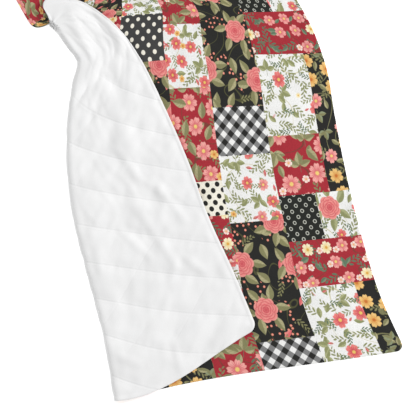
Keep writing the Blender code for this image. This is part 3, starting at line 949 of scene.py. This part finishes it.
def print_mustard_black():
    drawing = Print("print_mustard_black")
    drawing.base(BLACK)
    drawing.tendrils(7.0, 0.010, SAGE[0])
    undergrowth(drawing, 0.0500, 0.77, SAGE, SAGE[0], 0.60)
    lx, ly, own = drawing.lattice(0.0560, 0.1, 0.52, jitter=0.15)
    drawing.leaf_group(lx + 0.019, ly, 0.0150, 0.0085, (SAGE[0], TEAL[1]), SAGE[0],
                       chosen(own, 0.0, 0.34))
    drawing.blossom(lx, ly, 0.0235, 6, MUSTARDS, chosen(own, 0.34, 0.86))
    drawing.blossom(lx, ly, 0.0225, 6, PINKS, chosen(own, 0.86, 1.0))
    lx, ly, own = drawing.lattice(0.0560, 0.1, 1.02, jitter=0.15)
    drawing.leaf(lx, ly, 0.0150, 0.0070, SAGE, chosen(own, 0.0, 0.75))
    return drawing.finish()


def print_mustard_plain():
    drawing = Print("print_mustard_plain")
    drawing.base(linear(226, 168, 88))
    lx, ly, own = drawing.lattice(0.0360, 0.4, 0.25)
    drawing.blossom(lx, ly, 0.0100, 5, CREAMS, chosen(own, 0.0, 0.85))
    return drawing.finish()


def print_gingham():
    drawing = Print("print_gingham")
    drawing.base(WHITE)
    pitch = 0.0325
    half = math.sqrt(0.5)
    one = ((drawing.x + drawing.y) * (half / pitch) + 40.0).fraction()
    two = ((drawing.x - drawing.y) * (half / pitch) + 40.0).fraction()
    bands = [((v - 0.5).abs() * -1.0 + 0.27).edge(0.03) for v in (one, two)]
    drawing.lay(bands[0].at_least(bands[1]), linear(132, 132, 132))
    drawing.lay(bands[0] * bands[1], BLACK)
    return drawing.finish()


def staggered(drawing, pitch_x, pitch_y):
    """The distance to the nearest of dots set in staggered rows."""
    near = None
    for shift in (0.0, 0.5):
        dx = ((drawing.x / pitch_x + shift + 40.0).fraction() - 0.5) * pitch_x
        dy = ((drawing.y / pitch_y + shift + 40.0).fraction() - 0.5) * pitch_y
        r = (dx * dx + dy * dy).root()
        near = r if near is None else near.at_most(r)
    return near


def print_dots(name, ground, dot, pitch_x, pitch_y, radius):
    drawing = Print(name)
    drawing.base(ground)
    r = staggered(drawing, pitch_x, pitch_y)
    drawing.lay((r * -1.0 + radius).edge(0.0010), dot)
    return drawing.finish()


def print_rings():
    drawing = Print("print_rings")
    drawing.base(linear(36, 38, 34))
    r = staggered(drawing, 0.0320, 0.0320)
    ring = (((r - 0.0046).abs() * -1.0) + 0.0016).edge(0.0008)
    drawing.lay(ring, linear(196, 198, 186))
    return drawing.finish()


def print_back():
    """The plain white back, whose crossing lines show in places only."""
    drawing = Print("white_back")
    drawing.base(linear(245, 245, 245))
    shade = drawing.noise(14.0, 3.0)
    drawing.lay((shade - 0.45).clipped() * 0.35, linear(237, 238, 241))
    cross = (drawing.noise(6.0, 1.0) - 0.46).edge(0.10) * 1.9
    return drawing.finish(roughness=0.85, weave=0.4, grain=0.03, cross=cross,
                          smooth_from=SMOOTH_FROM)


PRINTS = {
    "black_roses": print_black_roses,
    "red_small": print_red_small,
    "red_flowers": print_red_flowers,
    "red_large": print_red_large,
    "white_sprigs": print_white_sprigs,
    "white_flowers": print_white_flowers,
    "white_roses": print_white_roses,
    "mustard_black": print_mustard_black,
    "mustard_plain": print_mustard_plain,
    "gingham": print_gingham,
    "rings": print_rings,
    "dots_cream": lambda: print_dots("print_dots_cream", CREAM, BLACK, 0.0310, 0.0340, 0.0080),
    "dots_charcoal": lambda: print_dots(
        "print_dots_charcoal", CHARCOAL, CREAM, 0.0400, 0.0400, 0.0072),
}


def make_top():
    marks_across = {v * PIXEL for patch in PATCHES for v in patch[0:2]}
    marks_up = {v * PIXEL for patch in PATCHES for v in patch[2:4]}
    half_gap = PANEL_GAP / 2.0
    piece, across, up = cloth_panel(
        "printed_patchwork", marks_across, marks_up,
        lambda a, u: np.full_like(a, half_gap),
        lambda a, u: half_gap + TOP_AT_STITCH + TOP_PUFF * puff(a, u))
    names = sorted(PRINTS)
    for name in names:
        piece.data.materials.append(PRINTS[name]())
    slots = np.zeros(len(across), dtype=np.int32)
    for left, right, low, high, name in PATCHES:
        inside = (across >= left * PIXEL) & (across <= right * PIXEL + 1e-6)
        inside &= (up >= low * PIXEL) & (up <= high * PIXEL + 1e-6)
        slots[inside] = names.index(name)
    piece.data.polygons.foreach_set("material_index", slots)
    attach(piece, "root")
    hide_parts("printed_top")


def make_back():
    half_gap = PANEL_GAP / 2.0

    def back_offset(a, u):
        turned_over = np.clip((a - fold_distance(u)) / (2.0 * QUARTER_BEND) + 0.5, 0.0, 1.0)
        full = BACK_AT_STITCH + BACK_PUFF * puff(a, u)
        return -half_gap - (BACK_ON_FLOOR * (1.0 - turned_over) + full * turned_over)

    piece, _, _ = cloth_panel(
        "quilted_back", (), (), lambda a, u: np.full_like(a, -half_gap), back_offset)
    piece.data.materials.append(print_back())
    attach(piece, "root")
    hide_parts("backing")


def make_floor():
    mesh = bpy.data.meshes.new("floor")
    bm = bmesh.new()
    bmesh.ops.create_grid(bm, x_segments=1, y_segments=1, size=8.0)
    bm.to_mesh(mesh)
    bm.free()
    floor = bpy.data.objects.new("floor", mesh)
    floor.location.z = -0.0005
    bpy.context.scene.collection.objects.link(floor)
    material = bpy.data.materials.new("pale_floor")
    material.use_nodes = True
    shader = material.node_tree.nodes["Principled BSDF"]
    shader.inputs["Base Color"].default_value = (0.95, 0.95, 0.95, 1.0)
    shader.inputs["Roughness"].default_value = 1.0
    shader.inputs["Specular IOR Level"].default_value = 0.0
    shader.inputs["Emission Color"].default_value = (1.0, 1.0, 1.0, 1.0)
    shader.inputs["Emission Strength"].default_value = 0.45
    floor.data.materials.append(material)


def make_camera():
    """Straight above the part of the quilt that the photograph frames, its length upward."""
    height = 4.6
    frame_width = PHOTO_WIDTH * PIXEL
    data = bpy.data.cameras.new("camera")
    data.angle = 2.0 * math.atan(frame_width / 2.0 / height)
    data.sensor_fit = "HORIZONTAL"
    camera = bpy.data.objects.new("camera", data)
    camera.location = (-PLAN_MIDDLE[0], -PLAN_MIDDLE[1], height)
    bpy.context.scene.collection.objects.link(camera)
    bpy.context.scene.camera = camera


def make_light(name, place, size, power):
    data = bpy.data.lights.new(name, "AREA")
    data.shape = "DISK"
    data.size = size
    data.energy = power
    light = bpy.data.objects.new(name, data)
    light.location = place
    light.rotation_euler = (-Vector(place)).to_track_quat("-Z", "Y").to_euler()
    bpy.context.scene.collection.objects.link(light)


def make_lights():
    make_light("key", (4.6, 2.1, 3.4), 2.0, 200.0)
    world = bpy.data.worlds.new("studio")
    world.use_nodes = True
    background = world.node_tree.nodes["Background"]
    background.inputs[0].default_value = (1.0, 1.0, 1.0, 1.0)
    background.inputs[1].default_value = 0.66
    bpy.context.scene.world = world
    bpy.context.scene.view_settings.view_transform = "Standard"


make_camera()
make_top()
make_back()
make_floor()
make_lights()
